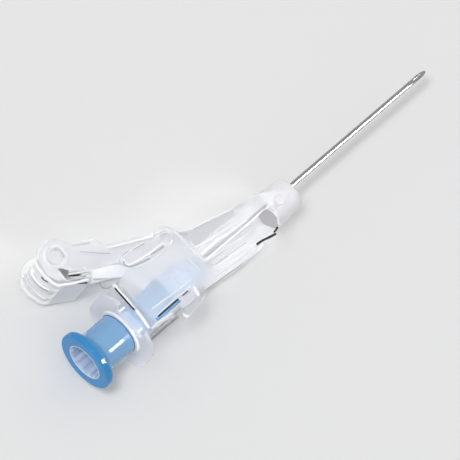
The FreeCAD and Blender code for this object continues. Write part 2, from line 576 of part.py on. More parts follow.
def make_front_arm(doc):
    """Front arm: a channel from the elbow to the open fork around the sleeve."""
    body = new_body(doc, "front_arm")
    link = new_sketch(body, "XY_Plane", "front_link")
    add_loop(link, [
        ("elbow_x", "elbow_y + 0.55 * front_elbow_eye"),
        ("hinge_x - 0.48 * rear_link", "hinge_y + 0.29 * rear_link"),
        ("hinge_x", "hinge_y + rear_hinge_eye"),
        ("nose_front", "fore_top_rear"),
        ("nose_front", "-inner_low"),
        ("fore_rear - collar_low", "-inner_low"),
        ("hinge_x - 0.3 * rear_link", "hinge_y"),
        ("elbow_x + front_elbow_eye", "elbow_y - 1.5 * front_elbow_eye"),
        ("elbow_x", "elbow_y - 0.7 * front_elbow_eye"),
    ])
    extrude(body, "Pad", link, "2 * front_outer")
    eye = new_sketch(body, "XY_Plane", "front_eye")
    add_circle(eye, "elbow_x", "elbow_y", "front_elbow_eye")
    extrude(body, "Pad", eye, "2 * front_outer")
    fore = new_sketch(body, "XY_Plane", "fore_outline")
    add_loop(fore, [
        ("fore_rear", "-fore_low_rear"),
        ("pin_x - fore_low_back", "-fore_low_front"),
        ("pin_x - 0.62 * fore_low_back", "-0.8 * fore_low_front"),
        ("pin_x", "-sleeve_drop - fork_eye"),
        ("pin_x", "fork_eye - sleeve_drop"),
        ("pin_x - 0.5 * fore_top_back", "fore_top_front"),
        ("pin_x - fore_top_back", "fore_top_front"),
        ("nose_front - 0.1", "fore_top_rear"),
        ("fore_rear", "0"),
    ])
    extrude(body, "Pad", fore, "2 * front_outer")
    fork = new_sketch(body, "XY_Plane", "fork_eyes")
    add_circle(fork, "pin_x", "-sleeve_drop", "fork_eye")
    extrude(body, "Pad", fork, "2 * front_outer")
    space = new_sketch(body, "XY_Plane", "front_space")
    add_loop(space, [
        ("elbow_x - 2 * front_elbow_eye", "elbow_y + 2 * front_elbow_eye"),
        ("elbow_x + 1.85 * front_elbow_eye", "elbow_y + 2 * front_elbow_eye"),
        ("elbow_x + 1.85 * front_elbow_eye", "elbow_y - front_elbow_eye"),
        ("hinge_x - 0.48 * rear_link - 0.5 * front_web", "hinge_y + 0.29 * rear_link - 1.1 * front_web"),
        ("hinge_x - 0.3 * front_web", "hinge_y + rear_hinge_eye - 1.1 * front_web"),
        ("nose_front - 0.3 * front_web", "fore_top_rear - 1.1 * front_web"),
        ("pin_x - fore_top_back", "fore_top_front - front_web"),
        ("pin_x - 0.55 * fore_top_back", "fore_top_front - front_web"),
        ("pin_x - 0.55 * fore_top_back", "2 * fore_top_front"),
        ("pin_x + 2 * fork_eye", "2 * fore_top_front"),
        ("pin_x + 2 * fork_eye", "-2 * fore_low_front"),
        ("elbow_x - 2 * front_elbow_eye", "-2 * fore_low_front"),
    ])
    extrude(body, "Pocket", space, "2 * front_inner")
    mouth = new_sketch(body, "XY_Plane", "fork_mouth")
    add_loop(mouth, [
        ("pin_x - sleeve_pin - pivot_fit", "-sleeve_drop"),
        ("pin_x - sleeve_pin - pivot_fit - fork_flare * fork_depth", "-sleeve_drop - fork_depth"),
        ("pin_x + sleeve_pin + pivot_fit + fork_flare * fork_depth", "-sleeve_drop - fork_depth"),
        ("pin_x + sleeve_pin + pivot_fit", "-sleeve_drop"),
    ])
    extrude(body, "Pocket", mouth, "3 * front_outer")
    seat = new_sketch(body, "XY_Plane", "fork_seat")
    add_circle(seat, "pin_x", "-sleeve_drop", "sleeve_pin + pivot_fit")
    extrude(body, "Pocket", seat, "3 * front_outer")
    window = new_sketch(body, "XY_Plane", "fore_window")
    add_loop(window, [
        ("pin_x - 1.07 * fore_low_back", "-0.13 * fore_low_front"),
        ("pin_x - 0.67 * fore_low_back", "-0.13 * fore_low_front"),
        ("pin_x - 0.6 * fore_low_back", "-0.37 * fore_low_front"),
        ("pin_x - 0.73 * fore_low_back", "-0.68 * fore_low_front"),
        ("pin_x - 0.93 * fore_low_back", "-0.68 * fore_low_front"),
        ("pin_x - 1.07 * fore_low_back", "-0.4 * fore_low_front"),
    ])
    extrude(body, "Pocket", window, "3 * front_outer")
    for side, plane_lift, turned in (("upper", "front_outer", False), ("lower", "-front_outer", True)):
        panel = new_sketch(body, "XY_Plane", side + "_fore_panel", plane_lift)
        add_loop(panel, [
            ("nose_front + 0.9", "0.4 * fore_top_rear"),
            ("pin_x - 1.15 * fore_top_back", "0.72 * fore_top_front"),
            ("pin_x - 1.1 * fore_top_back", "0.92 * fore_top_front"),
            ("nose_front + 0.9", "0.86 * fore_top_rear"),
        ])
        extrude(body, "Pocket", panel, "fore_panel_depth", False, turned)
        ribs = new_sketch(body, "XY_Plane", side + "_fore_ribs", plane_lift)
        for row in range(-2, 3):
            low = "fore_rib_pitch * %d - 0.6 * fore_rib_pitch" % row
            add_loop(ribs, [
                ("nose_front", low),
                ("nose_front + fore_rib_length", low),
                ("nose_front + fore_rib_length", low + " + fore_rib_width"),
                ("nose_front", low + " + fore_rib_width"),
            ])
        extrude(body, "Pad", ribs, "fore_rib_height", False, turned)
        stub = new_sketch(body, "XY_Plane", side + "_elbow_stub", plane_lift)
        add_circle(stub, "elbow_x", "elbow_y", "elbow_pin")
        body.Tip = extrude(body, "Pad", stub, "slide_gap + plate_thick", False, turned)
    return body


def make_sleeve(doc):
    """Sleeve around the needle: banded tube, front wall with a hole, side stubs."""
    body = new_body(doc, "tip_sleeve")
    outside = new_sketch(body, "XY_Plane", "sleeve_outside")
    add_loop(outside, [
        ("sleeve_rear", "0"),
        ("sleeve_rear", "sleeve_radius + sleeve_band"),
        ("sleeve_rear + sleeve_band_length", "sleeve_radius + sleeve_band"),
        ("sleeve_rear + sleeve_band_length", "sleeve_radius"),
        ("sleeve_front", "sleeve_radius"),
        ("sleeve_front", "0"),
    ])
    turned = revolve(body, "Revolution", outside)
    front = value_of(outside, "sleeve_front")

    def front_edge(edge):
        box = edge.BoundBox
        return box.XLength < 0.001 and abs(box.XMax - front) < 0.001

    soften(body, turned, "sleeve_front_round", front_edge, "sleeve_round")
    for side, turned_way in (("upper", False), ("lower", True)):
        stub = new_sketch(body, "XY_Plane", side + "_sleeve_stub")
        add_circle(stub, "pin_x", "0", "sleeve_pin")
        extrude(body, "Pad", stub, "front_outer", False, turned_way)
    cavity = new_sketch(body, "XY_Plane", "sleeve_cavity")
    add_loop(cavity, [
        ("sleeve_rear", "0"),
        ("sleeve_rear", "sleeve_radius - sleeve_wall"),
        ("sleeve_front - sleeve_wall", "sleeve_radius - sleeve_wall"),
        ("sleeve_front - sleeve_wall", "0"),
    ])
    revolve(body, "Groove", cavity)
    hole = new_sketch(body, "YZ_Plane", "sleeve_front_hole", "sleeve_front")
    add_circle(hole, "sleeve_drop", "0", "sleeve_hole")
    body.Tip = extrude(body, "Pocket", hole, "1.5 * sleeve_wall", False)
    body.setExpression("Placement.Base.y", named("-sleeve_drop"))
    return body


def make_lock(doc):
    """Steel lock plate in the sleeve: a bent strip that the needle passes through."""
    body = new_body(doc, "lock_plate")
    strip = new_sketch(body, "XY_Plane", "lock_strip")
    add_loop(strip, [
        ("sleeve_front - sleeve_wall - 4 * lock_fit - lock_thick", "0.6 * sleeve_radius - sleeve_drop"),
        ("sleeve_front - sleeve_wall - 4 * lock_fit", "0.6 * sleeve_radius - sleeve_drop"),
        ("sleeve_front - sleeve_wall - 4 * lock_fit", "lock_thick - 0.6 * sleeve_radius - sleeve_drop"),
        ("sleeve_front - sleeve_wall - 2 * lock_fit", "-0.6 * sleeve_radius - sleeve_drop"),
        ("sleeve_rear + 2 * lock_fit", "-0.6 * sleeve_radius - sleeve_drop"),
        ("sleeve_rear + 2 * lock_fit", "lock_thick - 0.6 * sleeve_radius - sleeve_drop"),
        ("sleeve_front - sleeve_wall - 4 * lock_fit - lock_thick", "lock_thick - 0.6 * sleeve_radius - sleeve_drop"),
    ])
    extrude(body, "Pad", strip, "lock_width")
    hole = new_sketch(body, "YZ_Plane", "lock_hole", "sleeve_front - sleeve_wall")
    add_circle(hole, "0", "0", "lock_hole")
    body.Tip = extrude(body, "Pocket", hole, "sleeve_length", False)
    return body


def check(doc, nodes):
    """Stop before anything is written if a feature failed."""
    for thing in doc.Objects:
        if "Invalid" in thing.State or "Error" in thing.State:
            raise RuntimeError("failed: " + thing.Name)
    for node in nodes:
        if node.Shape.isNull() or not node.Shape.isValid():
            raise RuntimeError("bad shape: " + node.Label)
        if len(node.Shape.Solids) != 1:
            raise RuntimeError("not one solid: " + node.Label)


def main():
    doc = FreeCAD.newDocument("shielded_needle")
    fill_sheet(doc)
    nodes = [
        make_hub(doc),
        make_needle(doc),
        make_bond(doc),
        make_collar(doc),
        make_rear_arm(doc),
        make_front_arm(doc),
        make_sleeve(doc),
        make_lock(doc),
    ]
    doc.recompute()
    check(doc, nodes)
    os.makedirs("parts", exist_ok=True)
    for node in nodes:
        node.Shape.exportStep("parts/%s.step" % node.Label)
        box = node.Shape.BoundBox
        print("%-14s volume %8.2f  X %6.2f %6.2f  Y %6.2f %6.2f  Z %6.2f %6.2f" % (
            node.Label, node.Shape.Volume, box.XMin, box.XMax, box.YMin, box.YMax,
            box.ZMin, box.ZMax))


main()
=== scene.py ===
"""Safety hypodermic needle, lying on a pale table, seen from behind and above."""

import math

import bmesh
import bpy
import numpy as np
from mathutils import Matrix, Vector


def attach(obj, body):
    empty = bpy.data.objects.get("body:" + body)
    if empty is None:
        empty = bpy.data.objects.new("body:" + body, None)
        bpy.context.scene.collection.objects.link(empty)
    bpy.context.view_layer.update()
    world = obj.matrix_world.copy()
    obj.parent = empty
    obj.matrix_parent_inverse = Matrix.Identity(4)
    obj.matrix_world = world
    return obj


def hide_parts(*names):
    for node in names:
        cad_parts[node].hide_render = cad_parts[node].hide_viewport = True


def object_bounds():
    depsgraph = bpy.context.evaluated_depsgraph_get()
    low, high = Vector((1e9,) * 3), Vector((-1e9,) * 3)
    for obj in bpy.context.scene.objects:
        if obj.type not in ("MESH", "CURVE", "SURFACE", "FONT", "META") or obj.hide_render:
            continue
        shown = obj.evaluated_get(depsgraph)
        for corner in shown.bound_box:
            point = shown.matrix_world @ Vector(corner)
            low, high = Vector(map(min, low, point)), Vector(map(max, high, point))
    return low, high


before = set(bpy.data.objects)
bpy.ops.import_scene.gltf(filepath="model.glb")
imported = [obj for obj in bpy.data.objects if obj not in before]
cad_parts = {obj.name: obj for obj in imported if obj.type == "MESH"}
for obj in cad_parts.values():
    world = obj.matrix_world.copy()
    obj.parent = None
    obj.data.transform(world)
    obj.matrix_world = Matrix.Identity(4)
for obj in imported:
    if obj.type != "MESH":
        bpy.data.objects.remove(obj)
CAD_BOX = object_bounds()

MM = 0.001

# The camera: a long lens, so that the picture has almost no perspective.
IMAGE_WIDTH_MM = 53.5
CAMERA_DISTANCE_MM = 2000.0
SENSOR_MM = 36.0
AIM_MM = (24.76, 0.71, 0.0)

# Where the needle's axis X points in the picture (right, up, toward the camera), two directions
# square to it, and how far the object is rolled from the first of them about the needle.
NEEDLE_IN_VIEW = (0.700, 0.5987, -0.389)
SIDE_IN_VIEW = (-0.650, 0.760, 0.0)
TOP_IN_VIEW = (0.2956, 0.2529, 0.921)
ROLL_DEG = -3.0

# The table reaches this far from the object's middle, in metres.
TABLE_REACH = 1.5

# Rounding of the moulded edges, and the turn from which an edge is rounded.
EDGE_ROUND_MM = 0.09
EDGE_TURN_DEG = 32

# Boxes are two corners in millimetres. The first is cut out of the flange, so that the neck behind it
# shows; the others pick the faces with a finish of their own: the milky flange, a painted highlight on the
# flange ring, and a lighter tint of painted light, against the shade they lie in, on the collar's floor
# and the arms' low plates and walls.
NECK_NOTCH = ((5.9, -2.2, 3.0), (6.5, 2.2, 4.8))
FLANGE = ((5.9, -5.0, -5.0), (6.55, 5.0, 5.0))
FLANGE_RING = ((5.6, -3.2, -3.2), (5.99, 3.2, 3.2))
COLLAR_FLOOR = ((7.0, -5.0, -4.8), (18.0, 7.0, -4.0))
REAR_ARM_LOW_PLATE = ((0.0, 0.0, -4.5), (20.0, 15.0, -3.0))
REAR_ARM_WALLS = ((0.0, 0.0, -3.0), (20.0, 15.0, 3.3))
FRONT_ARM_LOW_PLATE = ((0.0, -5.0, -4.5), (35.0, 15.0, -2.4))
FRONT_ARM_WALLS = ((0.0, -5.0, -2.4), (35.0, 15.0, 2.5))

# A face whose normal's Z is at most this counts as a wall.
STEEP = 0.5

# Tops of the plates that carry most lines, in millimetres.
COLLAR_TOP = 4.75
REAR_ARM_TOP = 4.1
FRONT_ARM_TOP = 3.25

# Heights of the panes of painted shade, which lie on the front arm and on the collar's wing.
PANE_TOP = FRONT_ARM_TOP + 0.01
WING_TOP = 3.22

# Thin lines on the mouldings, as half-sunk beads: white and soft ones are painted highlights along edges
# and ribs; faint, grey and black ones are painted shade and painted dark reflections beside them. A row
# gives a name, a key of LINE_HIGHLIGHTS_AND_SHADES, the height Z, the half width and the points (X, Y)
# of the path, in millimetres.
COLLAR_LINES = [
    ("ear and front edge", "soft", COLLAR_TOP, 0.15, [(15.37, 5.62), (16.27, 5.58), (17.15, 5.14),
        (17.47, 4.27), (17.54, 2.67), (17.65, 0.82), (17.9, -0.73)]),
    ("line inside the front edge", "soft", COLLAR_TOP, 0.09, [(16.47, 1.7), (16.51, 0.38),
        (16.6, -1.04)]),
    ("tongue, low edge", "white", COLLAR_TOP, 0.14, [(10.42, 6.02), (10.25, 5.61), (10.41, 5.02),
        (11.08, 4.81), (12.33, 4.62), (13.47, 4.45), (14.75, 4.43), (15.4, 4.29), (15.48, 3.92)]),
    ("tongue, upper edge", "white", COLLAR_TOP, 0.08, [(10.64, 6.18), (12.16, 6.11), (13.65, 5.86)]),
    ("shade over the tongue", "grey", COLLAR_TOP, 0.07, [(10.4, 6.26), (11.0, 6.28), (12.27, 6.03),
        (13.64, 5.75)]),
    ("slit beside the tongue", "grey", COLLAR_TOP, 0.11, [(13.22, 4.34), (14.18, 4.14), (15.2, 4.0)]),
    ("shade under the tongue", "grey", COLLAR_TOP, 0.1, [(10.2, 5.79), (9.98, 5.32), (10.24, 4.84),
        (10.93, 4.5), (11.93, 4.2), (12.9, 4.0)]),
    ("line under the tongue", "white", COLLAR_TOP, 0.07, [(10.74, 4.3), (12.69, 3.79), (14.8, 3.58)]),
    ("rear edge, white band", "white", COLLAR_TOP, 0.14, [(6.99, 4.25), (7.35, 4.27), (7.32, 3.44),
        (7.33, 2.08), (7.3, 0.68)]),
    ("rear edge, low band", "white", COLLAR_TOP, 0.2, [(7.27, 0.57), (7.19, -0.58), (6.97, -2.16)]),
    ("rear edge, dark line", "black", COLLAR_TOP, 0.11, [(7.15, 4.0), (7.1, 3.82), (7.1, 2.33),
        (7.12, 0.57)]),
    ("line above the slot", "white", COLLAR_TOP, 0.07, [(8.7, -0.57), (10.69, -0.75), (12.83, -0.92),
        (15.0, -0.91)]),
    ("slot frame", "white", COLLAR_TOP, 0.08, [(8.6, -1.51), (10.42, -1.49), (12.31, -1.47),
        (13.41, -1.52), (14.42, -1.52)]),
    ("slot, dark line", "black", COLLAR_TOP, 0.11, [(8.73, -1.75), (10.48, -1.73), (12.18, -1.72)]),
    ("notch, dark line", "black", COLLAR_TOP, 0.07, [(12.77, -1.75), (13.78, -1.75)]),
    ("wing, bright line", "white", 4.2, 0.2, [(14.9, -1.69), (14.7, -2.27), (14.54, -3.05)]),
    ("low edge of the box", "white", COLLAR_TOP, 0.08, [(7.15, -2.3), (8.38, -2.28), (10.45, -2.52)]),
    ("wing, white end", "white", 3.2, 0.15, [(11.97, -3.27), (12.1, -3.85), (12.43, -3.84)]),
    ("wing, outer edge", "soft", 3.2, 0.07, [(12.27, -3.96), (13.69, -3.76), (15.12, -3.53),
        (15.8, -3.12)]),
    ("wing, inner edge", "grey", 3.25, 0.06, [(14.98, -1.65), (14.75, -2.14), (14.51, -2.7)]),
    ("neck, near end", "white", 3.02, 0.16, [(6.2, 1.72), (6.7, 1.7), (7.15, 1.66)]),
    ("neck, far end", "white", 3.02, 0.16, [(6.2, -1.52), (6.7, -1.48), (7.15, -1.42)]),
    ("side wall, edge", "soft", 2.2, 0.1, [(8.43, -2.38), (9.91, -2.4), (10.8, -2.6), (11.39, -2.8)]),
]

REAR_ARM_LINES = [
    ("rear arm, bright bar", "white", REAR_ARM_TOP, 0.15, [(9.89, 8.39), (10.84, 7.8), (13.37, 6.67),
        (15.49, 5.72)]),
    ("rear arm, first bar", "white", REAR_ARM_TOP, 0.09, [(7.03, 11.22), (8.44, 10.51), (9.58, 9.82)]),
    ("rear arm, shade", "faint", REAR_ARM_TOP, 0.08, [(6.94, 11.03), (7.87, 10.43), (8.87, 9.91)]),
    ("rear arm, step", "faint", REAR_ARM_TOP, 0.06, [(7.11, 9.94), (8.58, 8.55), (9.86, 7.38)]),
    ("elbow ring, bright arc", "white", 4.4, 0.13, [(4.46, 12.42), (5.21, 12.26), (5.6, 11.83),
        (5.58, 11.19), (5.48, 10.76), (5.65, 10.36)]),
    ("elbow ring, shade", "faint", 4.4, 0.12, [(4.8, 12.04), (5.19, 11.72), (5.29, 11.24), (5.18, 10.81),
        (4.95, 10.57)]),
    ("elbow eye, left arc", "soft", REAR_ARM_TOP, 0.12, [(2.79, 12.43), (3.34, 12.88), (4.11, 13.19),
        (5.02, 13.21)]),
    ("pad, upper edge", "white", REAR_ARM_TOP, 0.16, [(2.25, 12.49), (1.94, 11.75), (1.85, 10.6),
        (1.98, 9.48), (2.23, 8.59), (2.76, 8.3), (3.5, 7.83), (4.31, 7.42), (5.86, 6.74)]),
    ("pad, first rib", "white", 1.5, 0.15, [(2.38, 11.97), (2.1, 12.01), (1.8, 11.43), (1.72, 10.53),
        (1.86, 9.7), (2.22, 8.91)]),
    ("pad, groove shade", "black", 2.6, 0.08, [(2.06, 10.67), (2.06, 10.19), (2.27, 9.66)]),
    ("pad, rib shade", "grey", 0.9, 0.12, [(1.92, 11.59), (1.78, 10.67), (1.88, 9.8), (2.2, 8.93)]),
    ("pad, second rib", "white", -1.5, 0.12, [(1.88, 10.53), (1.96, 9.79), (2.15, 8.96), (2.33, 8.64)]),
    ("pad, low edge", "white", -REAR_ARM_TOP, 0.13, [(2.38, 10.77), (2.55, 9.9), (2.98, 8.99),
        (3.31, 8.18), (4.02, 7.87), (4.68, 7.62), (5.03, 7.76)]),
    ("window, dark line", "faint", REAR_ARM_TOP, 0.1, [(3.98, 8.43), (4.92, 7.78), (6.47, 7.18)]),
    ("window, second line", "faint", REAR_ARM_TOP, 0.08, [(3.74, 8.18), (4.56, 7.78), (5.49, 7.29)]),
    ("window, frame", "white", REAR_ARM_TOP, 0.07, [(4.14, 8.77), (5.2, 8.15), (5.98, 7.81)]),
    ("window, black end", "black", 3.6, 0.1, [(4.49, 7.3), (4.97, 6.97), (5.51, 6.59)]),
    ("low plate, edge", "white", -REAR_ARM_TOP, 0.12, [(5.7, 8.07), (6.46, 7.5), (7.05, 6.97)]),
    ("low plate, shade", "faint", -REAR_ARM_TOP, 0.08, [(6.05, 8.44), (6.87, 7.73), (7.58, 7.12),
        (8.2, 6.72)]),
]

FRONT_ARM_LINES = [
    ("bright rib", "white", FRONT_ARM_TOP, 0.15, [(18.46, 0.58), (20.17, 0.61), (21.72, 0.6),
        (22.36, 0.4), (24.05, 0.3), (25.96, 0.17)]),
    ("shade under the rib", "faint", FRONT_ARM_TOP, 0.08, [(18.64, 0.27), (20.59, 0.27), (21.98, 0.16),
        (23.22, 0.05), (25.77, -0.1)]),
    ("line under the wedge", "white", FRONT_ARM_TOP, 0.08, [(18.65, 1.66), (20.35, 1.28), (21.91, 1.04),
        (23.13, 0.9), (24.55, 0.82)]),
    ("fine line 1", "white", FRONT_ARM_TOP, 0.06, [(18.7, -0.46), (21.05, -0.66), (23.98, -1.04)]),
    ("fine line 2", "faint", FRONT_ARM_TOP, 0.05, [(19.08, -1.32), (21.67, -1.58), (24.02, -1.78)]),
    ("fine line 3", "white", FRONT_ARM_TOP, 0.07, [(19.06, -1.66), (20.15, -1.76), (21.94, -1.93),
        (24.96, -2.53)]),
    ("fine line 4", "faint", FRONT_ARM_TOP, 0.06, [(19.0, -1.4), (20.63, -1.58), (21.03, -1.63)]),
    ("low line", "white", FRONT_ARM_TOP, 0.09, [(18.97, -2.22), (21.41, -2.49), (24.24, -2.66),
        (26.18, -2.82), (28.28, -2.81)]),
    ("black streak", "black", FRONT_ARM_TOP, 0.15, [(24.58, -2.74), (25.69, -2.87), (26.68, -3.12),
        (27.46, -3.27)]),
    ("short streak", "black", FRONT_ARM_TOP, 0.14, [(27.28, -3.0), (27.76, -2.89), (28.2, -2.8)]),
    ("fork ring", "soft", FRONT_ARM_TOP, 0.15, [(29.29, -0.33), (29.42, -1.14), (29.2, -1.68),
        (28.76, -2.22), (28.37, -2.72)]),
    ("low edge", "white", -3.2, 0.1, [(17.6, -2.35), (19.88, -2.55), (23.72, -2.98), (28.42, -2.64)]),
    ("fine line 5", "soft", FRONT_ARM_TOP, 0.05, [(18.97, -0.81), (21.81, -1.13), (24.41, -1.53)]),
    ("low edge, shade", "grey", -3.1, 0.07, [(18.8, -2.57), (21.3, -2.78), (24.0, -3.0), (28.4, -2.68)]),
    ("upper edge", "white", FRONT_ARM_TOP, 0.07, [(18.99, 3.78), (20.93, 3.3), (23.01, 2.82),
        (25.4, 2.19)]),
]

SLEEVE_LINES = [
    ("sleeve front ring", "grey", 0.8, 0.06, [(33.45, 1.35), (33.66, 0.23), (33.67, -1.1),
        (33.21, -2.47)]),
]

# Rims of the panes of painted shade, as points (X, Y) in millimetres.
WEDGE = [(18.96, 3.53), (21.21, 2.99), (23.38, 2.44), (25.25, 2.05), (24.77, 1.39), (22.68, 1.39),
    (20.73, 1.54), (18.91, 1.67), (18.89, 2.6)]
WING = [(13.2, -1.75), (14.01, -1.73), (14.78, -1.68), (14.7, -2.22), (14.47, -2.84), (14.81, -3.32),
    (14.86, -3.56), (13.75, -3.82), (12.59, -3.9), (12.35, -3.1), (12.38, -2.38)]
D_WINDOW = [(27.23, -0.31), (27.98, -0.28), (28.51, -0.35), (28.74, -0.89), (28.82, -1.44),
    (28.78, -2.11), (28.6, -2.53), (28.13, -2.79), (27.77, -2.7), (27.32, -2.07), (27.03, -1.27)]


def camera_axes():
    """Right, up and back vectors of the camera, in the object's axes."""
    roll = math.radians(ROLL_DEG)
    side, top = np.array(SIDE_IN_VIEW), np.array(TOP_IN_VIEW)
    y_axis = math.cos(roll) * side + math.sin(roll) * top
    z_axis = -math.sin(roll) * side + math.cos(roll) * top
    rows = np.stack([np.array(NEEDLE_IN_VIEW), y_axis, z_axis], axis=1)
    right, up = (Vector(row).normalized() for row in rows[:2])
    back = right.cross(up).normalized()
    return right, back.cross(right).normalized(), back


RIGHT, UP, BACK = camera_axes()


def add_camera():
    """Camera on the view's axis; its lens makes the picture as wide as asked at the aim."""
    turn = Matrix((RIGHT, UP, BACK)).transposed().to_4x4()
    place = Vector(AIM_MM) * MM + BACK * CAMERA_DISTANCE_MM * MM
    data = bpy.data.cameras.new("camera")
    data.sensor_width = SENSOR_MM
    data.lens = SENSOR_MM * CAMERA_DISTANCE_MM / IMAGE_WIDTH_MM
    data.clip_start = 0.01
    data.clip_end = 10.0
    camera = bpy.data.objects.new("camera", data)
    camera.matrix_world = Matrix.Translation(place) @ turn
    bpy.context.scene.collection.objects.link(camera)
    bpy.context.scene.camera = camera


def add_sun(name, towards, energy, angle_deg):
    """Lamp at infinity; towards points from the object to the lamp."""
    data = bpy.data.lights.new(name, "SUN")
    data.energy = energy
    data.angle = math.radians(angle_deg)
    sun = bpy.data.objects.new(name, data)
    sun.rotation_mode = "QUATERNION"
    sun.rotation_quaternion = towards.normalized().to_track_quat("Z", "Y")
    bpy.context.scene.collection.objects.link(sun)


def add_gloss_lamp(name, towards, width, height, energy):
    """Soft box a metre away that only draws highlights; towards points from the object to it."""
    towards = Vector(towards).normalized()
    across = Vector((0.0, 1.0, 0.0)).cross(towards).normalized()
    data = bpy.data.lights.new(name, "AREA")
    data.shape = "RECTANGLE"
    data.size = width
    data.size_y = height
    data.energy = energy
    lamp = bpy.data.objects.new(name, data)
    turn = Matrix((across, towards.cross(across), towards)).transposed().to_4x4()
    lamp.matrix_world = Matrix.Translation(towards) @ turn
    lamp.visible_diffuse = False
    lamp.visible_transmission = False
    bpy.context.scene.collection.objects.link(lamp)


def add_world():
    """White room light: full from straight above down to 30 degrees, darker toward the horizon."""
    world = bpy.data.worlds.new("room")
    bpy.context.scene.world = world
    world.use_nodes = True
    tree = world.node_tree
    back = tree.nodes["Background"]
    place = tree.nodes.new("ShaderNodeTexCoord")
    split = tree.nodes.new("ShaderNodeSeparateXYZ")
    ramp = tree.nodes.new("ShaderNodeValToRGB")
    tree.links.new(place.outputs["Generated"], split.inputs["Vector"])
    tree.links.new(split.outputs["Z"], ramp.inputs["Fac"])
    ramp.color_ramp.elements[0].position = 0.0
    ramp.color_ramp.elements[0].color = (0.45, 0.45, 0.46, 1.0)
    ramp.color_ramp.elements[1].position = 0.5
    ramp.color_ramp.elements[1].color = (1.0, 1.0, 1.0, 1.0)
    tree.links.new(ramp.outputs["Color"], back.inputs["Color"])
    back.inputs["Strength"].default_value = 0.635


def add_table():
    """Pale matt table, flat under the object's lowest point."""
    low = CAD_BOX[0][2]
    reach = TABLE_REACH
    corners = [(-reach, -reach, low), (reach, -reach, low), (reach, reach, low), (-reach, reach, low)]
    mesh = bpy.data.meshes.new("table")
    mesh.from_pydata(corners, [], [(0, 1, 2, 3)])
    table = bpy.data.objects.new("table", mesh)
    bpy.context.scene.collection.objects.link(table)
    material = bpy.data.materials.new("table_grey")
    material.use_nodes = True
    shader = material.node_tree.nodes["Principled BSDF"]
    shader.inputs["Base Color"].default_value = (0.79, 0.79, 0.79, 1.0)
    shader.inputs["Roughness"].default_value = 0.9
    shader.inputs["Specular IOR Level"].default_value = 0.0
    mesh.materials.append(material)


# ---- materials


def new_group(name, inputs, outputs):
    """Empty shader node group; inputs and outputs are (name, kind, value)."""
    group = bpy.data.node_groups.new(name, "ShaderNodeTree")
    for label, kind, value in inputs:
        socket = group.interface.new_socket(label, in_out="INPUT", socket_type=kind)
        socket.default_value = value
    for label, kind in outputs:
        group.interface.new_socket(label, in_out="OUTPUT", socket_type=kind)
    return group, group.nodes.new("NodeGroupInput"), group.nodes.new("NodeGroupOutput")


def math_node(tree, operation, first, second):
    """Math node whose two inputs are sockets or numbers."""
    node = tree.nodes.new("ShaderNodeMath")
    node.operation = operation
    for index, value in enumerate((first, second)):
        if isinstance(value, (int, float)):
            node.inputs[index].default_value = value
        else:
            tree.links.new(value, node.inputs[index])
    return node.outputs["Value"]


def mix_colours(tree, share, first, second):
    """Mix of two colours by a share; each is a socket or a colour."""
    node = tree.nodes.new("ShaderNodeMix")
    node.data_type = "RGBA"
    tree.links.new(share, node.inputs[0])
    for socket, value in ((node.inputs[6], first), (node.inputs[7], second)):
        if isinstance(value, tuple):
            socket.default_value = (*value, 1.0)
        else:
            tree.links.new(value, socket)
    return node.outputs[2]


def link_results(group, given, result, share, height):
    """Colour and roughness between the two given values by a share, and a height for the bump."""
    colour = mix_colours(group, share, given.outputs["Deep Tint"], given.outputs["Tint"])
    span = math_node(group, "SUBTRACT", given.outputs["Gloss High"], given.outputs["Gloss Low"])
    gloss = math_node(group, "ADD", math_node(group, "MULTIPLY", span, share), given.outputs["Gloss Low"])
    group.links.new(colour, result.inputs["Color"])
    group.links.new(gloss, result.inputs["Roughness"])
    group.links.new(height, result.inputs["Height"])


def moulded_group():
    """Moulded plastic: slow clouds in the tint, gloss that varies, and fine skin grain."""
    white = (1.0, 1.0, 1.0, 1.0)
    group, given, result = new_group(
        "moulded_plastic",
        [("Place", "NodeSocketVector", (0.0, 0.0, 0.0)), ("Tint", "NodeSocketColor", white),
         ("Deep Tint", "NodeSocketColor", white), ("Cloud Size", "NodeSocketFloat", 3.0),
         ("Grain Size", "NodeSocketFloat", 0.2), ("Gloss Low", "NodeSocketFloat", 0.2),
         ("Gloss High", "NodeSocketFloat", 0.3)],
        [("Color", "NodeSocketColor"), ("Roughness", "NodeSocketFloat"), ("Height", "NodeSocketFloat")])
    per_metre = 1.0 / MM
    clouds = group.nodes.new("ShaderNodeTexNoise")
    clouds.inputs["Detail"].default_value = 3.0
    group.links.new(given.outputs["Place"], clouds.inputs["Vector"])
    cloud_scale = math_node(group, "DIVIDE", per_metre, given.outputs["Cloud Size"])
    group.links.new(cloud_scale, clouds.inputs["Scale"])
    grain = group.nodes.new("ShaderNodeTexNoise")
    grain.inputs["Detail"].default_value = 2.0
    group.links.new(given.outputs["Place"], grain.inputs["Vector"])
    grain_scale = math_node(group, "DIVIDE", per_metre, given.outputs["Grain Size"])
    group.links.new(grain_scale, grain.inputs["Scale"])
    link_results(group, given, result, clouds.outputs["Fac"], grain.outputs["Fac"])
    return group


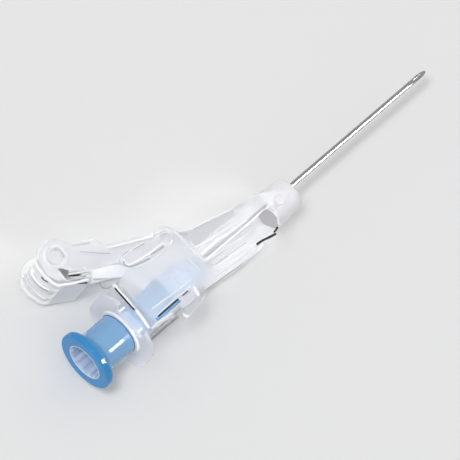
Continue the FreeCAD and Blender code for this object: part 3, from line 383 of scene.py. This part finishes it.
def drawn_steel_group():
    """Drawn steel: hair lines along X, with the tint and the gloss following them."""
    group, given, result = new_group(
        "drawn_steel",
        [("Place", "NodeSocketVector", (0.0, 0.0, 0.0)), ("Tint", "NodeSocketColor", (0.5, 0.5, 0.5, 1.0)),
         ("Deep Tint", "NodeSocketColor", (0.4, 0.4, 0.4, 1.0)), ("Gloss Low", "NodeSocketFloat", 0.15),
         ("Gloss High", "NodeSocketFloat", 0.3)],
        [("Color", "NodeSocketColor"), ("Roughness", "NodeSocketFloat"), ("Height", "NodeSocketFloat")])
    stretch = group.nodes.new("ShaderNodeMapping")
    stretch.inputs["Scale"].default_value = (400.0, 14000.0, 14000.0)
    hair = group.nodes.new("ShaderNodeTexNoise")
    hair.inputs["Scale"].default_value = 1.0
    hair.inputs["Detail"].default_value = 2.0
    group.links.new(given.outputs["Place"], stretch.inputs["Vector"])
    group.links.new(stretch.outputs["Vector"], hair.inputs["Vector"])
    link_results(group, given, result, hair.outputs["Fac"], hair.outputs["Fac"])
    return group


MOULDED = moulded_group()
DRAWN = drawn_steel_group()


def finish(name, group, values, grain_mm, **sockets):
    """Material whose colour, roughness and grain come from a group with its own values.

    The other arguments are the shader's own sockets, with an underscore for each space.
    """
    material = bpy.data.materials.new(name)
    material.use_nodes = True
    tree = material.node_tree
    shader = tree.nodes["Principled BSDF"]
    place = tree.nodes.new("ShaderNodeTexCoord")
    effect = tree.nodes.new("ShaderNodeGroup")
    effect.node_tree = group
    effect.name = "effect"
    tree.links.new(place.outputs["Object"], effect.inputs["Place"])
    for label, value in values.items():
        if isinstance(value, tuple):
            value = (*value, 1.0)
        effect.inputs[label].default_value = value
    bump = tree.nodes.new("ShaderNodeBump")
    bump.inputs["Distance"].default_value = grain_mm * MM
    bump.inputs["Strength"].default_value = 0.5
    tree.links.new(effect.outputs["Height"], bump.inputs["Height"])
    tree.links.new(effect.outputs["Color"], shader.inputs["Base Color"])
    tree.links.new(effect.outputs["Roughness"], shader.inputs["Roughness"])
    tree.links.new(bump.outputs["Normal"], shader.inputs["Normal"])
    for socket, value in sockets.items():
        shader.inputs[socket.replace("_", " ")].default_value = value
    return material


def light_shadow(material, share):
    """Lets a share of the light through where the material throws a shadow."""
    tree = material.node_tree
    mix = tree.nodes.new("ShaderNodeMixShader")
    clear = tree.nodes.new("ShaderNodeBsdfTransparent")
    path = tree.nodes.new("ShaderNodeLightPath")
    amount = math_node(tree, "MULTIPLY", path.outputs["Is Shadow Ray"], share)
    tree.links.new(amount, mix.inputs["Fac"])
    tree.links.new(tree.nodes["Principled BSDF"].outputs["BSDF"], mix.inputs[1])
    tree.links.new(clear.outputs["BSDF"], mix.inputs[2])
    tree.links.new(mix.outputs["Shader"], tree.nodes["Material Output"].inputs["Surface"])


def plastic(name, tint, deep, gloss, shadow_share, cloud=3.0, grain=0.25, grain_mm=0.01, **sockets):
    """Moulded plastic: two tints, the middle roughness and the share of light its shadow lets through."""
    values = {"Tint": tint, "Deep Tint": deep, "Cloud Size": cloud, "Grain Size": grain,
              "Gloss Low": gloss - 0.05, "Gloss High": gloss + 0.05}
    material = finish(name, MOULDED, values, grain_mm, **sockets)
    if shadow_share > 0.0:
        light_shadow(material, shadow_share)
    return material


# The rim's tint fades in between these distances from the hub's rear.
RIM_FADE_START_MM = 1.9
RIM_FADE_END_MM = 0.6


def hub_tints(material, rim_tint, socket_reflection_tint, socket_shade_tint, socket_radius, socket_depth):
    """Deeper tint on the thick rim and a streaked, paler one in the socket, both found from the place.
    The socket's tint is painted light: paler to offset the shade inside it, with pale streaks of painted
    reflection and darker streaks of painted shade.
    """
    tree = material.node_tree
    place = tree.nodes.new("ShaderNodeTexCoord")
    split = tree.nodes.new("ShaderNodeSeparateXYZ")
    tree.links.new(place.outputs["Object"], split.inputs["Vector"])
    fade = tree.nodes.new("ShaderNodeMapRange")
    fade.inputs["From Min"].default_value = RIM_FADE_START_MM * MM
    fade.inputs["From Max"].default_value = RIM_FADE_END_MM * MM
    tree.links.new(split.outputs["X"], fade.inputs["Value"])
    colour = mix_colours(tree, fade.outputs["Result"], tree.nodes["effect"].outputs["Color"], rim_tint)
    square_y = math_node(tree, "MULTIPLY", split.outputs["Y"], split.outputs["Y"])
    square_z = math_node(tree, "MULTIPLY", split.outputs["Z"], split.outputs["Z"])
    square = math_node(tree, "ADD", square_y, square_z)
    near_axis = math_node(tree, "LESS_THAN", square, (socket_radius * MM) ** 2)
    near_rear = math_node(tree, "LESS_THAN", split.outputs["X"], socket_depth * MM)
    inside = math_node(tree, "MULTIPLY", near_axis, near_rear)
    # Painted reflection and shade in the socket: streaks along X between the pale and the darker tint.
    stretch = tree.nodes.new("ShaderNodeMapping")
    stretch.inputs["Scale"].default_value = (60.0, 1900.0, 1900.0)
    reflection_streaks = tree.nodes.new("ShaderNodeTexNoise")
    reflection_streaks.inputs["Scale"].default_value = 1.0
    tree.links.new(place.outputs["Object"], stretch.inputs["Vector"])
    tree.links.new(stretch.outputs["Vector"], reflection_streaks.inputs["Vector"])
    contrast = tree.nodes.new("ShaderNodeMapRange")
    contrast.inputs["From Min"].default_value = 0.35
    contrast.inputs["From Max"].default_value = 0.65
    tree.links.new(reflection_streaks.outputs["Fac"], contrast.inputs["Value"])
    socket_painted_light = mix_colours(tree, contrast.outputs["Result"], socket_shade_tint, socket_reflection_tint)
    colour = mix_colours(tree, inside, colour, socket_painted_light)
    tree.links.new(colour, tree.nodes["Principled BSDF"].inputs["Base Color"])


# Clear mouldings.
SATIN = plastic("satin_plastic", (0.905, 0.908, 0.928), (0.885, 0.888, 0.908), 0.42, 0.84,
                Transmission_Weight=0.78, IOR=1.07, Specular_IOR_Level=0.0)
# Lighter tint of the same satin plastic on walls and low plates: painted light against the shade they lie
# in.
SATIN_LIGHTENED = plastic("satin_plastic_painted_light", (0.96, 0.962, 0.975), (0.94, 0.942, 0.955), 0.45, 0.6,
                     Transmission_Weight=0.3, IOR=1.07, Specular_IOR_Level=0.0)
MILKY = plastic("milky_flange", (0.93, 0.93, 0.965), (0.89, 0.89, 0.93), 0.40, 0.8,
                Transmission_Weight=0.5, IOR=1.1, Specular_IOR_Level=0.2)

# Painted highlights and painted shade for the edges and lines, and sheets of painted shade for the panes
# on them.
# Near white on the rounded edges of the mouldings and on the flange ring: a painted highlight.
EDGE_HIGHLIGHT = plastic("clear_plastic_painted_highlight", (1.0, 1.0, 1.0), (0.97, 0.97, 0.98), 0.30, 0.0,
               Transmission_Weight=0.15, IOR=1.3)
WHITE_HIGHLIGHT = plastic("painted_highlight_edge", (1.0, 1.0, 1.0), (0.96, 0.96, 0.97), 0.30, 0.0, IOR=1.2)
SOFT_HIGHLIGHT = plastic("soft_painted_highlight_edge", (0.97, 0.97, 0.98), (0.93, 0.93, 0.95), 0.40, 0.3,
               Transmission_Weight=0.4, IOR=1.2)
FAINT = plastic("faint_edge_shade", (0.68, 0.69, 0.72), (0.62, 0.63, 0.66), 0.35, 0.8, IOR=1.2)
GREY = plastic("soft_edge_shade", (0.50, 0.51, 0.55), (0.44, 0.45, 0.49), 0.30, 0.8, IOR=1.3)
BLACK = plastic("deep_edge_shade", (0.035, 0.037, 0.045), (0.02, 0.022, 0.03), 0.30, 0.8, IOR=1.3)
# Grey sheets of painted shade: on the front arm's wedge, on the collar's wing and over the front arm's
# window.
WEDGE_SHADE = plastic("painted_shade_panel", (0.67, 0.68, 0.715), (0.63, 0.64, 0.67), 0.45, 0.8, IOR=1.2)
WING_SHADE = plastic("painted_wing_shade", (0.60, 0.615, 0.66), (0.56, 0.575, 0.62), 0.35, 0.8, IOR=1.3)
WINDOW_SHADE = plastic("painted_window_shade", (0.52, 0.51, 0.545), (0.46, 0.45, 0.485), 0.45, 0.8, IOR=1.2)

# The sleeve, the hub, the glue and the metals.
FROSTED = plastic("frosted_plastic", (0.95, 0.945, 0.965), (0.92, 0.915, 0.935), 0.48, 0.75,
                  Transmission_Weight=0.45, IOR=1.12)
BLUE = plastic("blue_plastic", (0.29, 0.52, 0.79), (0.24, 0.47, 0.75), 0.08, 0.3, grain_mm=0.004,
               Transmission_Weight=0.2, IOR=1.35)
# The socket's streaked tint is painted reflection and painted shade.
hub_tints(BLUE, rim_tint=(0.045, 0.31, 0.68), socket_reflection_tint=(0.70, 0.80, 0.92),
          socket_shade_tint=(0.38, 0.48, 0.70), socket_radius=2.35, socket_depth=7.6)
# The dark ring at the hub's shoulder is painted shade; the pale ring at the socket's mouth a painted
# highlight.
BLUE_SHADE_LINE = plastic("blue_painted_shade_line", (0.05, 0.20, 0.46), (0.03, 0.16, 0.40), 0.18, 0.0, IOR=1.4)
BLUE_HIGHLIGHT_LIP = plastic("blue_painted_highlight_lip", (0.62, 0.76, 0.90), (0.55, 0.70, 0.86), 0.18, 0.0, IOR=1.4)
GLUE = plastic("cured_glue", (0.85, 0.87, 0.82), (0.80, 0.82, 0.76), 0.15, 0.6,
               Transmission_Weight=0.7, IOR=1.45)
STEEL = finish("needle_steel", DRAWN, {"Tint": (0.50, 0.50, 0.51), "Deep Tint": (0.36, 0.36, 0.37),
                                       "Gloss Low": 0.14, "Gloss High": 0.24}, 0.003, Metallic=1.0)
SPRING = finish("spring_steel", DRAWN, {"Tint": (0.60, 0.60, 0.61), "Deep Tint": (0.48, 0.48, 0.50),
                                        "Gloss Low": 0.22, "Gloss High": 0.34}, 0.004, Metallic=1.0)

# White and soft paint highlights; faint, grey and black paint shade and dark reflections beside edges.
LINE_HIGHLIGHTS_AND_SHADES = {"white": WHITE_HIGHLIGHT, "soft": SOFT_HIGHLIGHT, "faint": FAINT, "grey": GREY, "black": BLACK}


# ---- shapes


def rounded_corners(points, rounds, steps=6):
    """Closed outline whose corners are quadratic arcs.

    Each corner c with round r becomes (1-t)^2 a + 2 t (1-t) c + t^2 b, where a lies
    r before the corner and b lies r behind it.
    """
    corner = np.array(points, dtype=float)
    reach = np.array(rounds, dtype=float)[:, None]
    before = np.roll(corner, 1, axis=0) - corner
    behind = np.roll(corner, -1, axis=0) - corner
    a = corner + reach * before / np.linalg.norm(before, axis=1)[:, None]
    b = corner + reach * behind / np.linalg.norm(behind, axis=1)[:, None]
    t = np.linspace(0.0, 1.0, steps)[None, :, None]
    arcs = (1 - t) ** 2 * a[:, None] + 2 * t * (1 - t) * corner[:, None] + t ** 2 * b[:, None]
    return arcs.reshape(-1, 2)


def smooth_path(points, count):
    """Catmull-Rom curve through the points, at equal steps of its parameter."""
    given = np.array(points, dtype=float)
    held = np.vstack([2 * given[0] - given[1], given, 2 * given[-1] - given[-2]])
    place = np.linspace(0.0, len(given) - 1 - 1e-9, count)
    index = place.astype(int)
    f = (place - index)[:, None]
    a, b, c, d = held[index], held[index + 1], held[index + 2], held[index + 3]
    square = (2 * a - 5 * b + 4 * c - d) * f ** 2
    cube = (3 * b - a - 3 * c + d) * f ** 3
    return 0.5 * (2 * b + (c - a) * f + square + cube)


def bead(points, height, width, count=40, around=12):
    """Half-sunk bead along a path: P = path + w cos(t) side + 0.6 w sin(t) up.

    The half width w keeps its value along the path and falls to nothing at both
    ends as a circle does.
    """
    path = smooth_path(points, count)
    step = np.gradient(path, axis=0)
    length = np.linalg.norm(step, axis=1)
    side = np.stack([-step[:, 1], step[:, 0]], axis=1) / length[:, None]
    run = np.cumsum(length)
    end = np.clip(np.minimum(run - run[0], run[-1] - run) / (1.5 * width), 0.0, 1.0)
    w = width * np.sqrt(np.clip(1.0 - (1.0 - end) ** 2, 1e-6, 1.0))
    t = np.linspace(0.0, 2 * math.pi, around, endpoint=False)
    grid = np.empty((count, around, 3))
    grid[:, :, :2] = path[:, None] + (w[:, None] * np.cos(t))[..., None] * side[:, None]
    grid[:, :, 2] = height + 0.6 * w[:, None] * np.sin(t)
    return grid


def grid_faces(rows, columns, start, closed):
    """Quads between neighbouring rows and columns; columns always close, rows if asked."""
    row = np.arange(rows if closed else rows - 1)[:, None]
    column = np.arange(columns)[None, :]
    next_row = (row + 1) % rows
    next_column = (column + 1) % columns
    quads = np.stack([row * columns + column, next_row * columns + column,
                      next_row * columns + next_column, row * columns + next_column], axis=-1)
    return quads.reshape(-1, 4) + start


def surface(name, grids, finishes, body, closed=False, sharp_deg=40):
    """One piece from several grids of points in millimetres, each with its material."""
    points, faces, marks, start = [], [], [], 0
    materials = list(dict.fromkeys(finishes))
    for grid, material in zip(grids, finishes):
        quads = grid_faces(grid.shape[0], grid.shape[1], start, closed)
        points.append(grid.reshape(-1, 3) * MM)
        faces.append(quads)
        marks.append(np.full(len(quads), materials.index(material)))
        start += grid.shape[0] * grid.shape[1]
    mesh = bpy.data.meshes.new(name)
    mesh.from_pydata(np.vstack(points), [], np.vstack(faces))
    mesh.polygons.foreach_set("material_index", np.concatenate(marks))
    shape = bmesh.new()
    shape.from_mesh(mesh)
    bmesh.ops.remove_doubles(shape, verts=shape.verts, dist=2e-7)
    bmesh.ops.recalc_face_normals(shape, faces=shape.faces)
    shape.to_mesh(mesh)
    shape.free()
    mesh.polygons.foreach_set("use_smooth", np.ones(len(mesh.polygons), dtype=bool))
    mesh.set_sharp_from_angle(angle=math.radians(sharp_deg))
    for material in materials:
        mesh.materials.append(material)
    piece = bpy.data.objects.new(name, mesh)
    bpy.context.scene.collection.objects.link(piece)
    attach(piece, body)
    return piece


def revolved(profile, around=144):
    """Profile of (x, r) points carried round the X axis: P = (x, r cos(v), r sin(v))."""
    v = np.linspace(0.0, 2 * math.pi, around, endpoint=False)
    grid = np.empty((len(profile), around, 3))
    grid[:, :, 0] = profile[:, :1]
    grid[:, :, 1] = profile[:, 1:] * np.cos(v)
    grid[:, :, 2] = profile[:, 1:] * np.sin(v)
    return grid


def lines(name, rows, body):
    """One piece from a table of lines: a bead for each row, in the painted highlight or painted shade that
    the row names.
    """
    grids = [bead(points, height, width) for label, kind, height, width, points in rows]
    return surface(name, grids, [LINE_HIGHLIGHTS_AND_SHADES[row[1]] for row in rows], body)


def pane(name, outline, height, thick, material, body):
    """Thin lens: P = middle + t (rim - middle), crowned by thick (1 - t^2), closed below."""
    rim = smooth_path(list(outline) + [outline[0]], 61)[:-1]
    middle = rim.mean(axis=0)
    t = np.array([0.001, 0.4, 0.75, 0.93, 1.0, 0.93, 0.75, 0.4, 0.001])
    sign = np.array([1, 1, 1, 1, 0, -1, -1, -1, -1])
    grid = np.empty((len(t), len(rim), 3))
    grid[:, :, :2] = middle + t[:, None, None] * (rim - middle)
    grid[:, :, 2] = height + (thick * sign * (1.0 - t ** 2))[:, None]
    return surface(name, [grid], [material], body)


def box_cut(mesh, box):
    """Takes a box, given by its corners in millimetres, out of a mesh with the exact boolean."""
    low, high = (np.array(corner) * MM for corner in box)
    tool_shape = bmesh.new()
    bmesh.ops.create_cube(tool_shape, size=1.0)
    bmesh.ops.scale(tool_shape, vec=Vector(high - low), verts=tool_shape.verts)
    bmesh.ops.translate(tool_shape, vec=Vector((low + high) / 2), verts=tool_shape.verts)
    tool_mesh = bpy.data.meshes.new("cut")
    tool_shape.to_mesh(tool_mesh)
    tool_shape.free()
    tool = bpy.data.objects.new("cut", tool_mesh)
    holder = bpy.data.objects.new("cut_holder", mesh)
    for thing in (tool, holder):
        bpy.context.scene.collection.objects.link(thing)
    cut = holder.modifiers.new("cut", "BOOLEAN")
    cut.operation = "DIFFERENCE"
    cut.solver = "EXACT"
    cut.object = tool
    bpy.context.view_layer.update()
    evaluated = holder.evaluated_get(bpy.context.evaluated_depsgraph_get())
    result = bpy.data.meshes.new_from_object(evaluated)
    bpy.data.objects.remove(holder)
    bpy.data.objects.remove(tool)
    bpy.data.meshes.remove(tool_mesh)
    return result


def rounded_copy(node, name, body, face, cut=None):
    """Twin of a CAD node: the node's faces, merged, with rounded edges in a near-white painted highlight.
    """
    turn = math.radians(EDGE_TURN_DEG)
    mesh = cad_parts[node].data.copy()
    mesh.name = name
    shape = bmesh.new()
    shape.from_mesh(mesh)
    bmesh.ops.remove_doubles(shape, verts=shape.verts, dist=1e-6)
    bmesh.ops.dissolve_limit(shape, angle_limit=math.radians(1.0), verts=shape.verts, edges=shape.edges)
    shape.to_mesh(mesh)
    shape.free()
    if cut:
        mesh = box_cut(mesh, cut)
        mesh.name = name
    mesh.materials.clear()
    mesh.materials.append(face)
    mesh.materials.append(EDGE_HIGHLIGHT)
    piece = bpy.data.objects.new(name, mesh)
    bpy.context.scene.collection.objects.link(piece)
    bevel = piece.modifiers.new("moulded_edges", "BEVEL")
    bevel.width = EDGE_ROUND_MM * MM
    bevel.segments = 2
    bevel.limit_method = "ANGLE"
    bevel.angle_limit = turn
    bevel.harden_normals = True
    # The rounded faces take the near-white painted highlight.
    bevel.material = 1
    bevel.use_clamp_overlap = True
    mesh.polygons.foreach_set("use_smooth", np.ones(len(mesh.polygons), dtype=bool))
    mesh.set_sharp_from_angle(angle=turn)
    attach(piece, body)
    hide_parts(node)
    return piece


def refinish(piece, material, box, steepest=1.0):
    """Gives another finish to the faces whose middles lie in a box, in millimetres.

    Only faces whose normal's Z is no more than steepest, up or down, are taken.
    """
    mesh = piece.data
    middles = np.empty(len(mesh.polygons) * 3)
    mesh.polygons.foreach_get("center", middles)
    middles = middles.reshape(-1, 3) / MM
    low, high = np.array(box[0]), np.array(box[1])
    chosen = np.all((middles >= low) & (middles <= high), axis=1)
    normals = np.empty(len(mesh.polygons) * 3)
    mesh.polygons.foreach_get("normal", normals)
    chosen &= np.abs(normals.reshape(-1, 3)[:, 2]) <= steepest + 1e-6
    index = np.empty(len(mesh.polygons), dtype=np.int32)
    mesh.polygons.foreach_get("material_index", index)
    index[chosen] = len(mesh.materials)
    mesh.materials.append(material)
    mesh.polygons.foreach_set("material_index", index)


def hub():
    """The hub: its half section run once round X, outside from rim to nose, then back by the socket.

    A row of the section is (x, radius, rounding of that corner), in millimetres.
    """
    section = [
        (0.0, 3.84, 0.25), (0.9, 3.84, 0.25), (1.75, 2.62, 0.7), (5.7, 2.62, 0.12), (5.7, 2.4, 0.05),
        (8.15, 2.4, 0.1), (8.15, 2.05, 0.05), (16.55, 2.05, 0.6), (18.75, 1.45, 0.15), (18.75, 0.85, 0.08),
        (17.15, 0.85, 0.08), (17.15, 0.35, 0.03), (7.5, 0.35, 0.05), (7.5, 1.925, 0.15), (0.25, 2.14, 0.1),
        (0.0, 2.4, 0.12)]
    profile = rounded_corners([row[:2] for row in section], [row[2] for row in section])
    piece = surface("hub_moulded", [revolved(profile)], [BLUE], "hub_set", closed=True,
                    sharp_deg=60)
    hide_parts("luer_hub")


def hub_painted_rings():
    """Thin rings on the hub: circles of radius w in the half section, run round X. The dark ring at the
    shoulder is painted shade, the pale ring at the socket's mouth a painted highlight.
    """
    turn = np.linspace(0.0, 2 * math.pi, 12, endpoint=False)
    circle = np.stack([np.cos(turn), np.sin(turn)], axis=1)
    rings = [(5.66, 2.60, 0.075, BLUE_SHADE_LINE), (0.06, 2.36, 0.07, BLUE_HIGHLIGHT_LIP)]
    grids = [revolved(np.array([x, r]) + w * circle) for x, r, w, material in rings]
    surface("hub_painted_rings", grids, [ring[3] for ring in rings], "hub_set", closed=True)


def needle():
    """Tube along X: P = (x, r cos(v), r sin(v)); at the point, x follows the ground plane.

    The plane meets radius r at x = tip - (outer + r sin(v)) / tan(point angle).
    """
    outer, bore, rear, tip, point_deg = 0.32, 0.17, 9.75, 56.85, 13
    slope = math.tan(math.radians(point_deg))
    v = np.linspace(0.0, 2 * math.pi, 96, endpoint=False)
    ground_outer, ground_bore = (tip - (outer + r * np.sin(v)) / slope for r in (outer, bore))
    stations = [(np.full_like(v, rear), bore), (np.full_like(v, rear), outer)]
    body_end = tip - 2 * outer / slope - 0.5
    stations += [(np.full_like(v, x), outer) for x in np.linspace(rear + 0.02, body_end, 24)]
    stations += [(ground_outer, outer), (ground_bore, bore), (np.full_like(v, body_end), bore)]
    grid = np.stack([np.stack([x, r * np.cos(v), r * np.sin(v)], axis=1) for x, r in stations])
    piece = surface("needle_tube", [grid], [STEEL], "hub_set", closed=True)
    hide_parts("cannula")


# ---- the scene

bpy.context.scene.view_settings.view_transform = "Standard"
add_camera()
add_sun("window", -0.13 * RIGHT + 0.16 * UP + 1.0 * BACK, 1.35, 14)
add_gloss_lamp("strip_box", (0.39, -0.64, 0.66), 0.36, 0.24, 12.0)
add_gloss_lamp("low_box", (0.95, -0.22, 0.22), 0.3, 0.5, 2.0)
add_world()
add_table()

hub()
needle()
collar = rounded_copy("collar", "collar_moulded", "hub_set", SATIN, cut=NECK_NOTCH)
refinish(collar, MILKY, FLANGE)
# The flange ring takes the painted highlight.
refinish(collar, EDGE_HIGHLIGHT, FLANGE_RING)
# The collar's floor takes the lighter tint of painted light.
refinish(collar, SATIN_LIGHTENED, COLLAR_FLOOR)
hub_painted_rings()
rear_arm = rounded_copy("rear_arm", "rear_arm_moulded", "rear_arm_body", SATIN)
# The arm's low plate and walls take the lighter tint of painted light.
refinish(rear_arm, SATIN_LIGHTENED, REAR_ARM_LOW_PLATE)
refinish(rear_arm, SATIN_LIGHTENED, REAR_ARM_WALLS, steepest=STEEP)
front_arm = rounded_copy("front_arm", "front_arm_moulded", "front_arm_body", SATIN)
front_arm.visible_shadow = False
# The arm's low plate and walls take the lighter tint of painted light.
refinish(front_arm, SATIN_LIGHTENED, FRONT_ARM_LOW_PLATE)
refinish(front_arm, SATIN_LIGHTENED, FRONT_ARM_WALLS, steepest=STEEP)
rounded_copy("tip_sleeve", "sleeve_moulded", "sleeve_set", FROSTED)
# Beads of painted highlight and painted shade along the edges and lines.
lines("collar_painted_lines", COLLAR_LINES, "hub_set")
lines("rear_arm_painted_lines", REAR_ARM_LINES, "rear_arm_body")
lines("front_arm_painted_lines", FRONT_ARM_LINES, "front_arm_body")
lines("sleeve_painted_line", SLEEVE_LINES, "sleeve_set")
# Panes of painted shade over the wedge, the wing and the window.
pane("front_arm_shade_pane", WEDGE, PANE_TOP, 0.03, WEDGE_SHADE, "front_arm_body")
pane("collar_wing_shade_pane", WING, WING_TOP, 0.04, WING_SHADE, "hub_set")
pane("front_arm_window_shade", D_WINDOW, PANE_TOP, 0.04, WINDOW_SHADE, "front_arm_body")
for node, material in (("cannula_bond", GLUE), ("lock_plate", SPRING)):
    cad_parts[node].data.materials.clear()
    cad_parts[node].data.materials.append(material)
